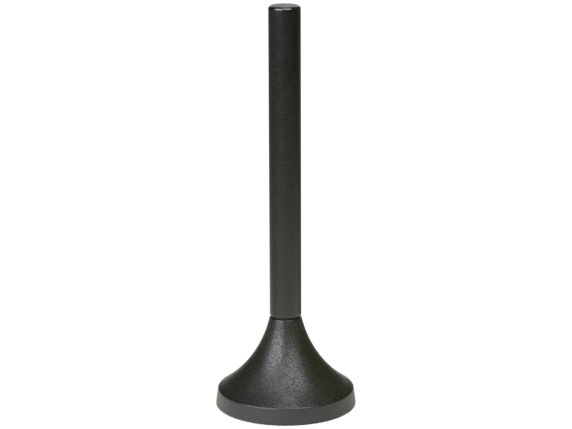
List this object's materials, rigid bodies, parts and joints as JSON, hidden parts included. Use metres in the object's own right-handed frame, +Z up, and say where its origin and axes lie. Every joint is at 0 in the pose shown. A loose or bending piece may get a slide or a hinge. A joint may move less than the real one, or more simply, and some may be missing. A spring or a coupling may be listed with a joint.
{
  "type": "magnetic mount antenna",
  "caption": "Small upright antenna: a closed straight tube mast screwed onto a trumpet-shaped magnetic base with a low upright rim and a cable outlet at the back",
  "frame": {"origin": "on the mast's axis, on the surface that the base stands on", "axes": "+Z up along the mast, +Y towards the cable outlet at the back, -Y the side that the picture shows"},
  "size_m": [0.038, 0.038, 0.109],
  "materials": {
    "mast_plastic": "satin black moulding",
    "base_plastic": "black, fine spark-eroded grain",
    "seal_rubber": "black rubber",
    "pad_rubber": "thin black rubber",
    "nylon": "natural nylon",
    "copper_wire": "enamelled copper",
    "rod_brass": "drawn brass",
    "bush_brass": "turned brass",
    "nickel": "bright nickel plate",
    "tinned_metal": "tinned brass",
    "zinc_steel": "zinc plated",
    "cup_steel": "zinc plated, drawn",
    "magnet_metal": "nickel plated magnet"
  },
  "bodies": {
    "root": {"mast_tube": "mast_plastic", "tip_spider": "nylon", "radiator_rod": "rod_brass", "loading_coil": "copper_wire", "coil_former": "nylon", "mast_ferrule": "nickel", "seal_washer": "seal_rubber", "base_housing": "base_plastic", "neck_bush": "bush_brass", "feed_tag": "tinned_metal", "lock_washer": "zinc_steel", "feed_screw": "zinc_steel", "earth_plate": "tinned_metal", "magnet_cup": "cup_steel", "magnet": "magnet_metal", "base_pad": "pad_rubber"}
  },
  "joints": []
}
